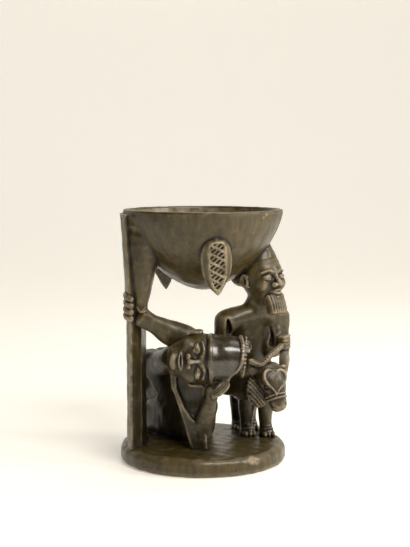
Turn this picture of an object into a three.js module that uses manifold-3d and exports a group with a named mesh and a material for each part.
// A carved wooden bowl on a figured stand: a disc base, a plank pillar, a kneeling attendant,
// a rider on a horse, and on top the bowl with leaf tabs under its wall.
// Millimetres, +Z up. The origin is the centre of the base's underside. +X is the rider's side,
// -X the pillar's side, and -Y the front, where the attendant's face looks.
import * as THREE from "three";
import { mergeVertices } from "three/addons/utils/BufferGeometryUtils.js";
import Module from "manifold-3d";

const wasm = await Module();
wasm.setup();

// Driving dimensions
const gap = 0.3; // between one carved mass and the next

const base = { radius: 82, height: 17.5, shoulder: 7, foot: 4 };

const bowl = {
  rimRadius: 78.5,
  depth: 80,
  wall: 6.5,
  floor: 10,
  lip: 2.5,
  shoulderPower: 1.62,
  bellyPower: 1.6,
};

const tab = {
  length: 62,
  width: 29.6,
  faceWidth: 16.8,
  thickness: 9,
  bevel: 4.4,
  below: 24,
  tilt: 22.8,
  tipTaper: 18,
};
// Direction from the bowl's axis and how far each tab hangs askew, in degrees
const tabPlaces = { front: [-80.5, 5], back_right: [28, 0], back_left: [137, 0] };

const pillar = { reach: 75.5, thickness: 18.5, depth: 62, set: -8, flare: 5.5, below: 5 };
const bracket = { lower: 135, foot: 7, head: 21, inner: -61, lean: 6, front: -28, below: 10 };

const horse = {
  legLength: 40,
  legRadius: 6.9,
  bodyRadius: 16,
  bodyWidth: 17,
  bodyLength: 56,
  backDip: 6,
  neckWidth: 26,
  neckDepth: 36,
  headWidth: 28,
  headDepth: 20,
  heading: -72,
  chestX: 55,
  chestY: 20,
  rumpAside: -5,
};
// How far ahead of the chest and to the left of it each foot stands
const horseFeet = {
  front_right: [-6, -9.3],
  front_left: [2, 8.5],
  rear_right: [-36, -8],
  rear_left: [-29, 3],
};
const poll = { x: 63.5, y: -27, height: 77 };
const muzzle = { x: 73, y: -38, height: 43 };

const rider = {
  seatBack: 3,
  seatAside: -5,
  seatSink: 12,
  lean: 14,
  leanAside: -9,
  torsoHeight: 67,
  waistHalf: 21,
  waistDepth: 15,
  shoulderHalf: 31.5,
  shoulderRadius: 11.5,
  upperArm: 22,
  forearm: 22,
  armRadius: 7.8,
  fist: 6,
  neckRadius: 13,
  neck: 17,
  headForward: 15,
  headAside: 5,
  headHeight: 52,
  headDepth: 50,
  headWidth: 42,
  beardWidth: 22,
  beardLength: 14,
  capHeight: 12.56,
  capX: 60.5,
  capY: -8,
  heading: -60,
  gaze: -45,
};
const straps = { rope: 3.2, width: 11, thickness: 6.6 };

// The attendant's body is drawn in hundredths of the stature, the shoulder's height in millimetres.
const attendant = {
  stature: 100,
  headHeight: 56,
  headDepth: 44,
  headWidth: 54,
  headLevel: 88,
  chinX: -33,
  chinY: -38,
  capStart: 42,
  capLength: 30,
  capWidth: 49.2,
  capDepth: 45,
  gripHeight: 127,
  fingerPitch: 6.3,
  fingerRadius: 2.5,
  legSpacing: 24,
};

// Facets round a full turn of the bowl and base, and rows down the bowl's wall
const roundSides = 40;
const bowlRows = 9;

// Finish of each kind of surface
const darkWood = new THREE.MeshStandardMaterial({ color: 0x3a352a, roughness: 0.55, metalness: 0 });
const wornWood = new THREE.MeshStandardMaterial({ color: 0x5b4d38, roughness: 0.6, metalness: 0 });
const polishedWood = new THREE.MeshStandardMaterial({
  color: 0x2e2a24,
  roughness: 0.35,
  metalness: 0,
});

// Solids and geometries
function solidOf(geometry) {
  const bare = geometry.index ? geometry.toNonIndexed() : geometry.clone();
  bare.deleteAttribute("normal");
  bare.deleteAttribute("uv");
  const merged = mergeVertices(bare, 1e-4);
  return new wasm.Manifold(
    new wasm.Mesh({
      numProp: 3,
      vertProperties: new Float32Array(merged.attributes.position.array),
      triVerts: new Uint32Array(merged.index.array),
    }),
  );
}

function geometryOf(solid) {
  const { vertProperties, triVerts } = solid.getMesh();
  const geometry = new THREE.BufferGeometry();
  geometry.setAttribute("position", new THREE.BufferAttribute(vertProperties, 3));
  geometry.setIndex(new THREE.BufferAttribute(triVerts, 1));
  geometry.computeVertexNormals();
  return geometry;
}

const joined = (...solids) => solids.reduce((whole, next) => whole.add(next));

function largestBody(solid) {
  return solid.decompose().reduce((big, next) => (next.volume() > big.volume() ? next : big));
}

const radians = THREE.MathUtils.degToRad;
const vector = (x, y, z) => new THREE.Vector3(x, y, z);
const level = (degrees) => vector(Math.cos(radians(degrees)), Math.sin(radians(degrees)), 0);

// A point along one level direction and across it, at a height.
function along(origin, degrees, forward, left, height) {
  const ahead = level(degrees);
  return vector(
    origin.x + ahead.x * forward - ahead.y * left,
    origin.y + ahead.y * forward + ahead.x * left,
    height,
  );
}

// A rounded limb through stations [point, half width, half height], with domed ends. The half
// height lies towards "up", and a squareness over 2 flattens the sides of the section.
function limb(
  stations,
  { grow = 0, sides = 10, steps = 2, up = vector(0, 0, 1), square = 2, dome = 0.8, domeRows = 1 } = {},
) {
  const centres = new THREE.CatmullRomCurve3(
    stations.map(([point]) => point),
    false,
    "catmullrom",
  );
  const sizes = new THREE.CatmullRomCurve3(
    stations.map(([, wide, high]) => vector(wide, high, 0)),
    false,
    "catmullrom",
  );
  const count = (stations.length - 1) * steps;
  const rings = [];
  const ringAt = (centre, tangent, wide, high) => {
    const side = vector().crossVectors(tangent, up).normalize();
    const top = vector().crossVectors(side, tangent).normalize();
    const ring = [];
    for (let i = 0; i < sides; i++) {
      const angle = (i / sides) * 2 * Math.PI;
      const bulge = (value) => Math.sign(value) * Math.abs(value) ** (2 / square);
      ring.push(
        centre
          .clone()
          .addScaledVector(side, wide * bulge(Math.cos(angle)))
          .addScaledVector(top, high * bulge(Math.sin(angle))),
      );
    }
    return ring;
  };
  const domeRings = (t, direction) => {
    const centre = centres.getPoint(t);
    const tangent = centres.getTangent(t);
    const size = sizes.getPoint(t);
    const wide = size.x + grow;
    const high = size.y + grow;
    const length = Math.min(size.x, size.y) * dome + grow;
    const made = Array.from({ length: domeRows }, (_, row) => {
      const angle = ((row + 1) / (domeRows + 1)) * (Math.PI / 2);
      const at = centre.clone().addScaledVector(tangent, direction * length * Math.sin(angle));
      return ringAt(at, tangent, wide * Math.cos(angle), high * Math.cos(angle));
    });
    return { made, pole: centre.clone().addScaledVector(tangent, direction * length) };
  };
  const start = domeRings(0, -1);
  const end = domeRings(1, 1);
  rings.push(...start.made.reverse());
  for (let i = 0; i <= count; i++) {
    const t = i / count;
    const size = sizes.getPoint(t);
    rings.push(ringAt(centres.getPoint(t), centres.getTangent(t), size.x + grow, size.y + grow));
  }
  rings.push(...end.made);
  return solidOf(closedRings(rings, start.pole, end.pole));
}

// A closed surface over rings of equal length, with a pole at each end.
function closedRings(rings, startPole, endPole) {
  const points = [...rings.flat(), startPole, endPole];
  const sides = rings[0].length;
  const faces = [];
  const first = rings.length * sides;
  for (let j = 0; j < sides; j++) {
    const next = (j + 1) % sides;
    faces.push(first, j, next);
    for (let i = 0; i + 1 < rings.length; i++) {
      const a = i * sides + j;
      const b = a + sides;
      const c = (i + 1) * sides + next;
      const d = i * sides + next;
      faces.push(a, b, c, a, c, d);
    }
    const last = (rings.length - 1) * sides;
    faces.push(last + next, last + j, first + 1);
  }
  const geometry = new THREE.BufferGeometry().setFromPoints(points);
  geometry.setIndex(faces);
  return geometry;
}

function ellipsoid(centre, radii, { grow = 0, detail = 10 } = {}) {
  const geometry = new THREE.SphereGeometry(1, detail, Math.round(detail * 0.66));
  geometry.scale(radii.x + grow, radii.y + grow, radii.z + grow);
  geometry.translate(centre.x, centre.y, centre.z);
  return solidOf(geometry);
}

// Pieces are carved in turn: each one gives way, by the gap, to those already there.
const carving = new THREE.Group();
carving.position.z = base.height;
const placed = [];

function touches(a, b) {
  const one = a.boundingBox();
  const two = b.boundingBox();
  return [0, 1, 2].every((i) => one.min[i] < two.max[i] && two.min[i] < one.max[i]);
}

// shape(grow) gives the piece above the base's top, and cutter(grow) what it takes from others.
function carve(group, name, material, shape, cutter = shape) {
  let solid = shape(0);
  for (const other of placed) {
    if (touches(solid, other)) solid = solid.subtract(other);
  }
  solid = largestBody(solid);
  const mesh = new THREE.Mesh(geometryOf(solid), material);
  mesh.name = name;
  const offset = group === carving ? vector() : group.position;
  mesh.geometry.translate(-offset.x, -offset.y, -offset.z);
  group.add(mesh);
  placed.push(cutter(gap));
}

// Base: a disc with a rounded shoulder and a small radius at its foot
function baseSolid(grow) {
  const radius = base.radius + grow;
  const profile = [new THREE.Vector2(0, -base.height - grow)];
  for (let i = 0; i <= 1; i++) {
    const angle = (i * Math.PI) / 2;
    profile.push(
      new THREE.Vector2(
        radius - base.foot + base.foot * Math.sin(angle),
        -base.height - grow + base.foot * (1 - Math.cos(angle)),
      ),
    );
  }
  for (let i = 0; i <= 3; i++) {
    const angle = (i * Math.PI) / 6;
    profile.push(
      new THREE.Vector2(
        radius - base.shoulder * (1 - Math.cos(angle)),
        grow - base.shoulder * (1 - Math.sin(angle)),
      ),
    );
  }
  profile.push(new THREE.Vector2(0, grow));
  const geometry = new THREE.LatheGeometry(profile, roundSides);
  geometry.rotateX(Math.PI / 2);
  return solidOf(geometry);
}

// Heights above the base's top
const horseBack = horse.legLength + 2 * horse.bodyRadius - horse.backDip;
const shoulderLevel = horseBack + rider.torsoHeight - rider.seatSink;
const chinLevel = shoulderLevel + rider.neck;
const brimShare = 0.77; // of the head's height, from the chin up
const brimLevel = chinLevel + rider.headHeight * brimShare;
const capTop = brimLevel + rider.capHeight;

// Bowl: its outside radius at a depth below the rim, and the depth of that surface at a radius
function bowlRadius(depth, radius, fullDepth) {
  const share = Math.min(depth / fullDepth, 1) ** bowl.shoulderPower;
  return radius * (1 - share) ** (1 / bowl.bellyPower);
}
function bowlDepthAt(radius) {
  const share = 1 - (radius / bowl.rimRadius) ** bowl.bellyPower;
  return bowl.depth * share ** (1 / bowl.shoulderPower);
}
const rimLevel = capTop + bowlDepthAt(Math.hypot(rider.capX, rider.capY));

function bowlWall(radius, depth, rows) {
  const points = [];
  for (let i = 0; i <= rows; i++) {
    const down = Math.sin((i / rows) * (Math.PI / 2)) * depth;
    points.push(new THREE.Vector2(i === rows ? 0 : bowlRadius(down, radius, depth), -down));
  }
  return points;
}
function bowlSolid() {
  const outside = bowlWall(bowl.rimRadius, bowl.depth, bowlRows).reverse();
  const inside = bowlWall(bowl.rimRadius - bowl.wall, bowl.depth - bowl.floor, bowlRows - 3);
  const lip = [
    new THREE.Vector2(bowl.rimRadius - bowl.lip * 0.3, 0),
    new THREE.Vector2(bowl.rimRadius - bowl.wall + bowl.lip * 0.3, 0),
  ];
  outside[outside.length - 1].y = -bowl.lip * 0.6;
  inside[0].y = -bowl.lip * 0.6;
  const geometry = new THREE.LatheGeometry([...outside, ...lip, ...inside], roundSides);
  geometry.rotateX(Math.PI / 2);
  geometry.translate(0, 0, rimLevel);
  return solidOf(geometry);
}
function bowlCutter(grow) {
  const outside = bowlWall(bowl.rimRadius + grow, bowl.depth + grow, bowlRows).reverse();
  const geometry = new THREE.LatheGeometry([...outside, new THREE.Vector2(0, 0)], roundSides);
  geometry.rotateX(Math.PI / 2);
  geometry.translate(0, 0, rimLevel);
  return solidOf(geometry);
}

// Leaf tab: a pointed plate, thin at its tip, whose bevelled face looks outwards and hangs down
const tabRows = [0.03, 0.12, 0.27, 0.42, 0.58, 0.74, 0.88];
function leafShare(down) {
  const fullest = 0.42;
  if (down < fullest) return Math.sqrt(1 - (1 - down / fullest) ** 2.6);
  return (1 - ((down - fullest) / (1 - fullest)) ** 1.9) ** 0.92;
}
function faceShare(down) {
  return down < 0.42 ? 0.9 + 0.24 * down : 1 - 0.9 * ((down - 0.42) / 0.58) ** 2.4;
}
function tabRing(widthShare, half, top, tip, outAt) {
  const place = (down, side) => {
    const height = top + (tip - top) * down;
    return vector(outAt(-height), side * half * widthShare(down), height);
  };
  const right = tabRows.map((down) => place(down, 1));
  const left = tabRows.map((down) => place(down, -1)).reverse();
  return [vector(outAt(-top), 0, top), ...right, vector(outAt(-tip), 0, tip), ...left];
}
function tabSolid([degrees, askew], grow) {
  const half = tab.thickness / 2;
  const inner = (down) => {
    const share = Math.min((tab.length - down) / tab.tipTaper, 1);
    return Math.min(-half * (2 * share - 1), half - tab.bevel - 0.2) - grow;
  };
  const shoulder = () => half - tab.bevel + grow;
  const face = () => half + grow;
  const wide = tab.width / 2 + grow;
  const rings = [
    tabRing(leafShare, wide, grow, -tab.length - grow, inner),
    tabRing(leafShare, wide, grow, -tab.length - grow, shoulder),
    tabRing(faceShare, tab.faceWidth / 2 + grow, grow - 2.5, -tab.length * 0.96 - grow, face),
  ];
  const middle = -tab.length * 0.4;
  const geometry = closedRings(rings, vector(inner(-middle), 0, middle), vector(face(), 0, middle));
  const topRadius = bowlRadius(tab.below, bowl.rimRadius, bowl.depth) + 1.5;
  geometry.rotateX(radians(askew));
  geometry.rotateY(radians(tab.tilt));
  geometry.translate(topRadius, 0, rimLevel - tab.below);
  geometry.rotateZ(radians(degrees));
  return solidOf(geometry);
}

// Pillar: a plank with a sharp front edge, which follows the base's rim and flares at its head
function pillarSection(height, spread, grow) {
  const halfWide = pillar.thickness / 2 + grow;
  const halfDeep = pillar.depth / 2 + grow;
  const middle = -pillar.reach + pillar.thickness / 2;
  const corners = [
    [-0.78, -0.65],
    [-1, 0],
    [-0.72, 0.8],
    [0, 1],
    [1, 0.71],
    [1, 0.1],
    [0.57, -0.48],
    [-0.35, -0.98],
  ];
  return corners.map(([wide, deep]) =>
    vector(
      middle + wide * halfWide - (wide < 0.5 ? spread : 0),
      pillar.set + deep * halfDeep,
      height,
    ),
  );
}
function pillarSolid(grow) {
  const top = rimLevel - pillar.below;
  const rings = [
    pillarSection(-base.shoulder - grow, 0, grow),
    pillarSection(bracket.lower * 0.5, 0, grow),
    pillarSection(bracket.lower, 0, grow),
    pillarSection((bracket.lower + top) / 2, pillar.flare * 0.6, grow),
    pillarSection(top + grow, pillar.flare, grow),
  ];
  const centre = (ring) => ring.reduce((sum, p) => sum.add(p), vector()).divideScalar(ring.length);
  return solidOf(closedRings(rings, centre(rings[0]), centre(rings.at(-1))));
}

// Bracket: a half cone that spreads from the attendant's grip to the bowl's wall
function bracketSolid(grow) {
  const rise = rimLevel - bracket.lower - bracket.below;
  const station = (share) => {
    const radius = bracket.foot + (bracket.head - bracket.foot) * share;
    const centre = vector(
      bracket.inner + bracket.lean * share,
      bracket.front + bracket.lean * 0.8 * share,
      bracket.lower + rise * share,
    );
    return [centre, radius, radius * 1.15];
  };
  return limb([0, 0.25, 0.6, 1].map(station), {
    grow,
    up: vector(0, 1, 0),
    dome: 0.25,
    sides: 12,
  });
}

// A head with brow, nose, eyes, lips and ears in general proportions. Its chin is at "chin",
// its crown lies along "up" and it looks along "ahead".
function headFrame(chin, up, ahead) {
  const crown = up.clone().normalize();
  const left = vector().crossVectors(crown, ahead).normalize();
  const front = vector().crossVectors(left, crown).normalize();
  return new THREE.Matrix4().makeBasis(front, left, crown).setPosition(chin);
}
function headSolid(frame, { height, depth, width }, grow) {
  const at = (x, y, z) => vector(x * depth, y * width, z * height).applyMatrix4(frame);
  const up = vector().setFromMatrixColumn(frame, 0);
  const skull = limb(
    [
      [at(0.12, 0, 0.06), width * 0.24, depth * 0.26],
      [at(0.06, 0, 0.22), width * 0.38, depth * 0.38],
      [at(0.01, 0, 0.45), width * 0.48, depth * 0.46],
      [at(-0.01, 0, 0.7), width * 0.475, depth * 0.465],
      [at(-0.02, 0, 0.86), width * 0.39, depth * 0.37],
    ],
    { grow, up, sides: 12, steps: 1, dome: 0.5 },
  );
  const small = { grow, up, sides: 5, steps: 1 };
  const nose = limb(
    [
      [at(0.42, 0, 0.56), width * 0.05, depth * 0.05],
      [at(0.49, 0, 0.42), width * 0.08, depth * 0.07],
      [at(0.49, 0, 0.34), width * 0.13, depth * 0.07],
    ],
    small,
  );
  const pieces = [skull, nose];
  const crown = vector().setFromMatrixColumn(frame, 2);
  for (const side of [-1, 1]) {
    pieces.push(
      limb(
        [
          [at(0.38, side * 0.11, 0.49), height * 0.03, depth * 0.04],
          [at(0.39, side * 0.2, 0.5), height * 0.055, depth * 0.06],
          [at(0.3, side * 0.32, 0.48), height * 0.03, depth * 0.05],
        ],
        small,
      ),
      limb(
        [
          [at(-0.02, side * 0.43, 0.35), width * 0.06, depth * 0.05],
          [at(-0.04, side * 0.48, 0.46), width * 0.08, depth * 0.09],
          [at(-0.02, side * 0.47, 0.57), width * 0.06, depth * 0.06],
        ],
        small,
      ),
    );
  }
  for (const lip of [0.19, 0.24]) {
    pieces.push(
      limb(
        [
          [at(0.36, -0.16, lip), height * 0.022, depth * 0.04],
          [at(0.43, 0, lip), height * 0.03, depth * 0.05],
          [at(0.36, 0.16, lip), height * 0.022, depth * 0.04],
        ],
        { ...small, up: crown },
      ),
    );
  }
  return joined(...pieces);
}

// Horse: legs, barrel, neck, bent head and tail
const horseChest = vector(horse.chestX, horse.chestY, 0);
const horsePoint = (forward, left, height) => along(horseChest, horse.heading, forward, left, height);
const barrelLevel = horse.legLength + horse.bodyRadius - 2;

function horseBody(grow) {
  const length = horse.bodyLength;
  const wide = horse.bodyWidth;
  const high = horse.bodyRadius;
  return limb(
    [
      [horsePoint(-length * 0.74, horse.rumpAside, barrelLevel), wide, high * 0.86],
      [horsePoint(-length * 0.5, horse.rumpAside * 0.6, barrelLevel), wide, high],
      [horsePoint(-length * 0.2, 0, barrelLevel), wide, high],
      [horsePoint(length * 0.08, 0, barrelLevel + 1), wide * 0.94, high],
    ],
    { grow, sides: 12 },
  );
}
function horseLeg(forward, left, grow) {
  const up = level(horse.heading);
  const radius = horse.legRadius;
  return limb(
    [
      [horsePoint(forward, left, horse.legLength + 6), radius * 1.35, radius * 1.4],
      [horsePoint(forward, left, horse.legLength * 0.7), radius * 1.1, radius * 1.15],
      [horsePoint(forward - 1, left, horse.legLength * 0.3), radius * 0.85, radius * 0.9],
      [horsePoint(forward + 2, left, 3), radius * 1.15, radius * 1.4],
    ],
    { grow, up, sides: 8 },
  );
}
const pollPoint = vector(poll.x, poll.y, poll.height);
const muzzlePoint = vector(muzzle.x, muzzle.y, muzzle.height);
function horseNeck(grow) {
  const wide = horse.neckWidth / 2;
  const deep = horse.neckDepth / 2;
  const start = horsePoint(4, 0, barrelLevel + 4);
  const end = vector(poll.x - 9, poll.y - 1, poll.height - 20);
  return limb(
    [
      [start, wide * 1.08, deep * 0.83],
      [start.clone().lerp(end, 0.55).setZ(barrelLevel), wide, deep * 0.94],
      [end, wide * 0.92, deep],
    ],
    { grow, dome: 0.5 },
  );
}
function horseHead(grow) {
  const wide = horse.headWidth / 2;
  const deep = horse.headDepth / 2;
  const between = (share, aside) =>
    pollPoint.clone().lerp(muzzlePoint, share).add(vector(aside, 0, 0));
  const up = level(horse.heading);
  const ear = (side) => {
    const out = level(horse.heading + 90).multiplyScalar(side * wide);
    return limb(
      [
        [pollPoint.clone().addScaledVector(out, 0.64), wide * 0.26, wide * 0.2],
        [pollPoint.clone().addScaledVector(out, 1.2), wide * 0.13, wide * 0.11],
      ],
      { grow, up, sides: 6, steps: 1 },
    );
  };
  const skull = limb(
    [
      [between(0, -1), wide * 0.9, deep * 0.8],
      [between(0.25, -1), wide, deep],
      [between(0.6, 0), wide * 0.71, deep * 0.95],
      [between(1, 0), wide * 0.57, deep * 0.75],
    ],
    { grow, up, sides: 12 },
  );
  const brow = between(0.3, -1).addScaledVector(up, deep * 0.75);
  const boss = ellipsoid(brow, vector(wide * 0.72, deep * 0.66, wide * 0.7), { grow, detail: 8 });
  return joined(skull, boss, ear(-1), ear(1));
}
function horseTail(grow) {
  const start = -horse.bodyLength * 0.74 - horse.bodyRadius * 0.55;
  const aside = horse.rumpAside;
  return limb(
    [
      [horsePoint(start + 3, aside, barrelLevel + 6), 3.5, 3.5],
      [horsePoint(start - 2, aside, barrelLevel - 6), 3.6, 3.2],
      [horsePoint(start - 2, aside, barrelLevel - 24), 3, 2.6],
    ],
    { grow, up: level(horse.heading), sides: 8 },
  );
}

// Rider: torso, arms that hold the rein, legs on the horse's flanks, head, beard and cap
const seat = horsePoint(-rider.seatBack, rider.seatAside, horseBack);
const torsoTop = along(seat, rider.heading, rider.lean, rider.leanAside, shoulderLevel);
const riderPoint = (forward, left, height) => along(torsoTop, rider.heading, forward, left, height);
const shoulder = (side) => riderPoint(1, side * rider.shoulderHalf, shoulderLevel - 2);
const headSeat = riderPoint(rider.headForward, rider.headAside, chinLevel);
const gazeAhead = level(rider.gaze);

function riderTorso(grow) {
  const { waistHalf, waistDepth, shoulderHalf, shoulderRadius, neckRadius } = rider;
  const trunk = limb(
    [
      [seat.clone().setZ(horseBack + 2), waistHalf, waistDepth],
      [seat.clone().lerp(torsoTop, 0.4), waistHalf, waistDepth],
      [seat.clone().lerp(torsoTop, 0.75), waistHalf * 1.14, waistDepth],
      [riderPoint(0, 0, shoulderLevel + 2), shoulderHalf * 0.86, waistDepth * 0.93],
    ],
    { grow, up: level(rider.heading), sides: 12, steps: 1, dome: 0.5 },
  );
  const yokeAt = (share, drop) => [
    riderPoint(1 + drop, share * shoulderHalf, shoulderLevel + 2 + drop),
    shoulderRadius * 1.12,
    shoulderRadius * 0.96,
  ];
  const yoke = limb([yokeAt(-0.86, 0), yokeAt(-0.4, 3), yokeAt(0, 5), yokeAt(0.4, 3), yokeAt(0.86, 0)], {
    grow,
    sides: 8,
    steps: 1,
  });
  const neck = limb(
    [
      [riderPoint(6, 1, shoulderLevel + rider.neck * 0.6), neckRadius * 1.1, neckRadius],
      [riderPoint(12, 4, chinLevel + 8), neckRadius, neckRadius],
    ],
    { grow, up: level(rider.heading), sides: 8, steps: 1, dome: 0.6 },
  );
  return joined(trunk, yoke, neck);
}
const riderHeadSize = {
  height: rider.headHeight,
  depth: rider.headDepth,
  width: rider.headWidth,
};
const riderFrame = headFrame(headSeat, vector(-0.1, 0.08, 1), gazeAhead);
const riderHeadAt = (x, y, z) =>
  vector(x * rider.headDepth, y * rider.headWidth, z * rider.headHeight).applyMatrix4(riderFrame);
function riderHead(grow) {
  const nape = ellipsoid(
    riderHeadAt(-0.24, 0.06, 0.68),
    vector(rider.headDepth * 0.36, rider.headDepth * 0.36, rider.headHeight * 0.28),
    { grow, detail: 8 },
  );
  return joined(headSolid(riderFrame, riderHeadSize, grow), nape);
}
function riderBeard(grow) {
  const half = rider.beardWidth / 2;
  const reach = -rider.beardLength * 0.55;
  const at = (x, z) => vector(x * rider.headDepth, 0, z).applyMatrix4(riderFrame);
  return limb(
    [
      [at(0.3, rider.headHeight * 0.14), half, half * 0.7],
      [at(0.4, rider.headHeight * 0.02), half * 0.97, half * 0.66],
      [at(0.44, reach), half * 0.92, half * 0.62],
    ],
    { grow, up: gazeAhead, square: 3.4, dome: 0.3, steps: 1, sides: 8 },
  );
}
function riderCap(grow) {
  const wide = rider.headWidth;
  const deep = rider.headDepth;
  const apex = vector(rider.capX, rider.capY, capTop + 4.4);
  return limb(
    [
      [riderHeadAt(-0.03, 0, 0.78), wide * 0.51, deep * 0.5],
      [riderHeadAt(-0.03, 0, 0.88), wide * 0.45, deep * 0.43],
      [riderHeadAt(-0.02, 0, 0.98), wide * 0.3, deep * 0.29],
      [apex, wide * 0.12, deep * 0.1],
    ],
    { grow, up: gazeAhead, sides: 12, dome: 0.1 },
  );
}
const elbowRight = shoulder(-1).addScaledVector(vector(-0.27, -0.145, -0.95), rider.upperArm);
const fistRight = elbowRight.clone().addScaledVector(vector(1.13, -0.36, 0.32), rider.forearm);
const elbowLeft = shoulder(1).addScaledVector(vector(0.157, -0.3, -0.94), rider.upperArm);
const fistLeft = elbowLeft.clone().addScaledVector(vector(0, -0.994, 0.113), rider.forearm);

function arm(from, elbow, hand, grow) {
  const radius = rider.armRadius;
  return limb(
    [
      [from.clone().setZ(from.z + 2), rider.shoulderRadius, rider.shoulderRadius * 1.08],
      [from.clone().lerp(elbow, 0.6), radius, radius * 1.09],
      [elbow, radius, radius * 1.08],
      [elbow.clone().lerp(hand, 0.6), radius * 0.85, radius * 0.85],
      [hand, radius * 0.67, radius * 0.72],
    ],
    { grow, up: vector(0.3, 1, 0.2), sides: 8, steps: 1 },
  );
}
function fist(centre, grow) {
  const size = rider.fist;
  const fingers = [0, 1, 2, 3].map((i) => {
    const lift = (1.5 - i) * size * 0.6;
    const knuckle = (x, y, rise) => centre.clone().add(vector(x * size, y * size, lift + rise));
    return limb(
      [
        [knuckle(-0.83, -0.17, -1), size * 0.3, size * 0.38],
        [knuckle(0, -0.87, 0), size * 0.3, size * 0.38],
        [knuckle(0.83, -0.17, 1), size * 0.3, size * 0.38],
      ],
      { grow, sides: 5, steps: 1 },
    );
  });
  const palm = ellipsoid(centre, vector(size, size * 0.92, size * 1.2), { grow, detail: 6 });
  return joined(palm, ...fingers);
}
function riderLeg(side, grow) {
  const out = side * (horse.bodyWidth + 2);
  return limb(
    [
      [horsePoint(-18, out * 0.7, horseBack - 2), 8, 9],
      [horsePoint(-6, out * 1.05, barrelLevel - 2), 8, 13],
      [horsePoint(8, out * 1.1, barrelLevel - 3), 7, 12],
      [horsePoint(18, out * 0.85, barrelLevel - 6), 6, 8],
    ],
    { grow, sides: 8 },
  );
}
function rein(grow) {
  const fore = pollPoint.clone().add(vector(-7.5, -8, 6));
  const end = pollPoint.clone().add(vector(-17.5, -10, 9));
  const start = fistLeft.clone().add(vector(-2, -4, -2.5));
  return limb(
    [start, start.clone().lerp(fore, 0.52).setZ(start.z - 7), fore, end].map((point) => [
      point,
      straps.rope,
      straps.rope,
    ]),
    { grow, sides: 6 },
  );
}
function cheekStrap(grow) {
  const half = straps.width / 2;
  const deep = straps.thickness / 2;
  return limb(
    [
      [fistLeft.clone().add(vector(0.5, 0, -6.5)), half * 0.95, deep * 0.9],
      [fistLeft.clone().add(vector(-0.5, -6, -16.5)), half, deep],
      [fistLeft.clone().add(vector(-2.5, -15, -27.5)), half * 0.95, deep],
    ],
    { grow, sides: 8, up: vector(0, 1, 0), square: 3 },
  );
}

// Attendant: kneels on the base, props the head on one hand and holds the pillar with the other
const bodyShare = attendant.stature / 100;
const bodyPoint = (x, y, z) => vector(x, y, z).multiplyScalar(bodyShare);
function bodyLimb(rows, options) {
  const stations = rows.map(([point, wide, high]) => [point, wide * bodyShare, high * bodyShare]);
  return limb(stations, options);
}
const frontwards = vector(0, -1, 0);
const grip = vector(
  -pillar.reach + pillar.thickness - 1,
  pillar.set - pillar.depth / 2 + 6,
  attendant.gripHeight,
);
const raisedShoulder = bodyPoint(-8, -10, 97);
const elbowDown = bodyPoint(1, -31, 3);
const propWrist = bodyPoint(9, -40, 0).setZ(attendant.headLevel - 30 * bodyShare);
const chestPoint = bodyPoint(-20, -8, 86);
const pelvis = bodyPoint(-45, 43, 66);
const knee = bodyPoint(-2, 3, 14);

function attendantTorso(grow) {
  return bodyLimb(
    [
      [pelvis, 19, 17.5],
      [pelvis.clone().lerp(chestPoint, 0.45), 17, 15],
      [chestPoint, 22, 15],
      [chestPoint.clone().add(bodyPoint(7, -18, 3)), 17, 13],
    ],
    { grow, sides: 12 },
  );
}
function raisedArm(grow) {
  const towards = (share) => grip.clone().lerp(raisedShoulder, share);
  return bodyLimb(
    [
      [towards(-0.02), 7, 9.5],
      [towards(0.24), 8.5, 9.5],
      [towards(0.48), 10, 12.5],
      [towards(0.76), 12, 14.5],
      [raisedShoulder, 13, 15],
    ],
    { grow },
  );
}
// Fingers come round the pillar's outer edge, joined by their knuckles.
function raisedHand(grow) {
  const edge = -pillar.reach;
  const front = pillar.set - pillar.depth / 2;
  const radius = attendant.fingerRadius;
  const heightOf = (i) => attendant.gripHeight + (3.25 - i) * attendant.fingerPitch;
  const fingers = [0, 1, 2, 3].map((i) => {
    const height = heightOf(i);
    return limb(
      [
        [vector(edge + 6, front + 1.5, height - 1), radius * 0.8, radius * 0.96],
        [vector(edge + 3.2, front + 5, height), radius, radius * 1.16],
        [vector(edge + 0.9, front + 13, height + 0.8), radius, radius * 1.16],
        [vector(edge + 0.5, front + 24, height + 1), radius * 0.88, radius * 1.04],
      ],
      { grow, sides: 5, steps: 1 },
    );
  });
  const knuckles = limb(
    [
      [vector(edge + 1.4, front + 11, heightOf(0)), radius * 0.8, radius * 1.4],
      [vector(edge + 1.4, front + 11, heightOf(3)), radius * 0.8, radius * 1.4],
    ],
    { grow, sides: 6, steps: 1, up: vector(0, 1, 0) },
  );
  return joined(...fingers, knuckles);
}
// A recessed plate with a ridge along its outer edge
function proppingUpperArm(grow) {
  const plate = bodyLimb(
    [
      [bodyPoint(-14, -26, 78), 19, 9],
      [bodyPoint(-11, -26, 52), 14.5, 8],
      [bodyPoint(-7, -25, 26), 10, 7],
      [bodyPoint(-5, -25, 3), 6.5, 7],
    ],
    { grow, up: frontwards, square: 3, steps: 1, sides: 12 },
  );
  const ridge = bodyLimb(
    [
      [bodyPoint(-32, -36, 82), 4.6, 7],
      [bodyPoint(-27, -35, 60), 4.2, 7],
      [bodyPoint(-20.5, -33, 38), 4, 7],
      [bodyPoint(-13.5, -30, 16), 3.8, 6.5],
      [bodyPoint(-10, -29, 2), 3.6, 6],
    ],
    { grow, up: frontwards, square: 4, steps: 1, sides: 8 },
  );
  return joined(plate, ridge);
}
function proppingForearm(grow) {
  return bodyLimb(
    [
      [elbowDown, 6.5, 8],
      [bodyPoint(0, -33, 20), 10, 10],
      [bodyPoint(5, -37, 40), 8, 9],
      [propWrist, 6, 7.5],
    ],
    { grow, up: frontwards },
  );
}
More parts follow.
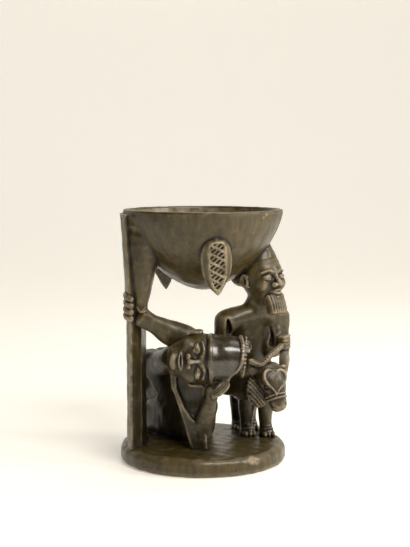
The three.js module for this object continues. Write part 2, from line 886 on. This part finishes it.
function proppingHand(grow) {
  const from = (x, y, z) => propWrist.clone().add(bodyPoint(x, y, z));
  const palm = bodyLimb(
    [
      [from(0, 0.5, -1), 7.2, 8.8],
      [from(2, -5, 2), 7.5, 6.8],
      [from(7, -8, 4), 7, 6],
    ],
    { grow, up: frontwards, sides: 8, steps: 1 },
  );
  const fingers = [0, 1, 2, 3].map((i) => {
    return bodyLimb(
      [
        [from(-0.8 + 0.9 * i, -10.8, 1.5 - 2.3 * i), 1.9, 1.9],
        [from(4 + 1.4 * i, -13.2, 5.5 - 1.5 * i), 2, 2],
        [from(10 + 2 * i, -9.6, 9 - 0.6 * i), 1.7, 1.7],
      ],
      { grow, sides: 5, steps: 1, up: frontwards },
    );
  });
  return joined(palm, ...fingers);
}
const attendantChin = vector(attendant.chinX, attendant.chinY, attendant.headLevel);
const attendantFrame = headFrame(attendantChin, vector(1, -0.03, 0.02), vector(0, -1, 0.05));
const attendantSize = {
  height: attendant.headHeight,
  depth: attendant.headDepth,
  width: attendant.headWidth,
};
const attendantHead = (grow) => headSolid(attendantFrame, attendantSize, grow);
function attendantCap(grow) {
  const { capStart, capLength } = attendant;
  const wide = attendant.capWidth / 2;
  const deep = attendant.capDepth / 2;
  const station = ([share, size, bend = 0]) => [
    vector(-bend * 0.7, bend, capStart + capLength * share).applyMatrix4(attendantFrame),
    wide * size,
    deep * size,
  ];
  const round = { grow, up: frontwards, sides: 12, steps: 1, dome: 0.1 };
  const drum = limb(
    [[-0.05, 1.06], [0.15, 0.98], [0.5, 0.95, 0.2], [0.82, 0.89, 1.4], [1, 0.82, 3]].map(station),
    round,
  );
  const rim = limb([[0.88, 0.91, 2], [0.97, 0.91, 2.8]].map(station), round);
  return joined(drum, rim);
}

// Folded legs lie side by side along one line, from the knees in front to the feet behind
const legLine = vector(-50, 58, 0).normalize();
const legAcross = vector(-legLine.y, legLine.x, 0);
function foldedPoint(back, side, height) {
  return knee
    .clone()
    .addScaledVector(legLine, back * bodyShare)
    .addScaledVector(legAcross, (side * attendant.legSpacing) / 2)
    .setZ(height * bodyShare);
}
// The hollow of the folded knee: a shallow wedge in the near leg's outer side
function kneeFold(grow) {
  return bodyLimb(
    [
      [foldedPoint(86, 4.1, 45), 30, 24],
      [foldedPoint(64, 4.1, 43.5), 30, 15.5],
      [foldedPoint(42, 4.1, 39), 30, 0.9],
    ],
    { grow: -grow, square: 8, dome: 0.6, steps: 1, sides: 8 },
  );
}
function thigh(side, grow) {
  return bodyLimb(
    [
      [foldedPoint(0, side, 24), 10, 16],
      [foldedPoint(26, side, 37), 12, 23],
      [foldedPoint(48, side, 52), 13, 26],
      [foldedPoint(66, side, 62), 13, 20],
    ],
    { grow, square: 2.6, sides: 12 },
  ).subtract(kneeFold(grow));
}
function calf(side, grow) {
  return bodyLimb(
    [
      [foldedPoint(-2, side, 11), 9, 12],
      [foldedPoint(26, side, 15), 12, 17],
      [foldedPoint(52, side, 16), 12, 17],
      [foldedPoint(70, side, 13), 10, 14],
    ],
    { grow, square: 2.6, sides: 12 },
  ).subtract(kneeFold(grow));
}

// Assembly
const root = new THREE.Group();
const vessel = new THREE.Group();
vessel.position.z = rimLevel;
const stand = new THREE.Group();
const attendantFigure = new THREE.Group();
const horseAndRider = new THREE.Group();
carving.add(vessel, stand, attendantFigure, horseAndRider);
root.add(carving);

carve(stand, "base", darkWood, baseSolid);
carve(vessel, "bowl", darkWood, bowlSolid, bowlCutter);
for (const [place, directions] of Object.entries(tabPlaces)) {
  carve(vessel, `leaf_tab_${place}`, wornWood, (grow) => tabSolid(directions, grow));
}
carve(stand, "pillar", darkWood, pillarSolid);

carve(attendantFigure, "attendant_cap", polishedWood, attendantCap);
carve(attendantFigure, "attendant_head", wornWood, attendantHead);
carve(attendantFigure, "attendant_raised_hand", wornWood, raisedHand);
carve(stand, "pillar_bracket", darkWood, bracketSolid);
carve(attendantFigure, "attendant_raised_arm", darkWood, raisedArm);
carve(attendantFigure, "attendant_propping_hand", wornWood, proppingHand);
carve(attendantFigure, "attendant_propping_forearm", darkWood, proppingForearm);
carve(attendantFigure, "attendant_propping_upper_arm", darkWood, proppingUpperArm);
for (const [place, side] of [["near", 1], ["far", -1]]) {
  carve(attendantFigure, `attendant_${place}_thigh`, darkWood, (grow) => thigh(side, grow));
}
carve(attendantFigure, "attendant_torso", darkWood, attendantTorso);
for (const [place, side] of [["near", 1], ["far", -1]]) {
  carve(attendantFigure, `attendant_${place}_calf`, darkWood, (grow) => calf(side, grow));
}

carve(horseAndRider, "rider_cap", darkWood, riderCap);
carve(horseAndRider, "rider_head", wornWood, riderHead);
carve(horseAndRider, "rider_beard", wornWood, riderBeard);
carve(horseAndRider, "horse_head", wornWood, horseHead);
carve(horseAndRider, "horse_neck", wornWood, horseNeck);
carve(horseAndRider, "horse_body", darkWood, horseBody);
carve(horseAndRider, "rider_left_hand", wornWood, (grow) => fist(fistLeft, grow));
carve(horseAndRider, "rider_right_hand", wornWood, (grow) => fist(fistRight, grow));
carve(horseAndRider, "rider_torso", darkWood, riderTorso);
carve(horseAndRider, "rider_right_arm", darkWood, (grow) =>
  arm(shoulder(-1), elbowRight, fistRight, grow),
);
carve(horseAndRider, "rider_left_arm", darkWood, (grow) =>
  arm(shoulder(1), elbowLeft, fistLeft, grow),
);
for (const [place, side] of [["right", -1], ["left", 1]]) {
  carve(horseAndRider, `rider_${place}_leg`, darkWood, (grow) => riderLeg(side, grow));
}
for (const [place, [forward, left]] of Object.entries(horseFeet)) {
  carve(horseAndRider, `horse_${place}_leg`, darkWood, (grow) => horseLeg(forward, left, grow));
}
carve(horseAndRider, "horse_tail", darkWood, horseTail);
carve(horseAndRider, "cheek_strap", wornWood, cheekStrap);
carve(horseAndRider, "rein", wornWood, rein);

export default root;
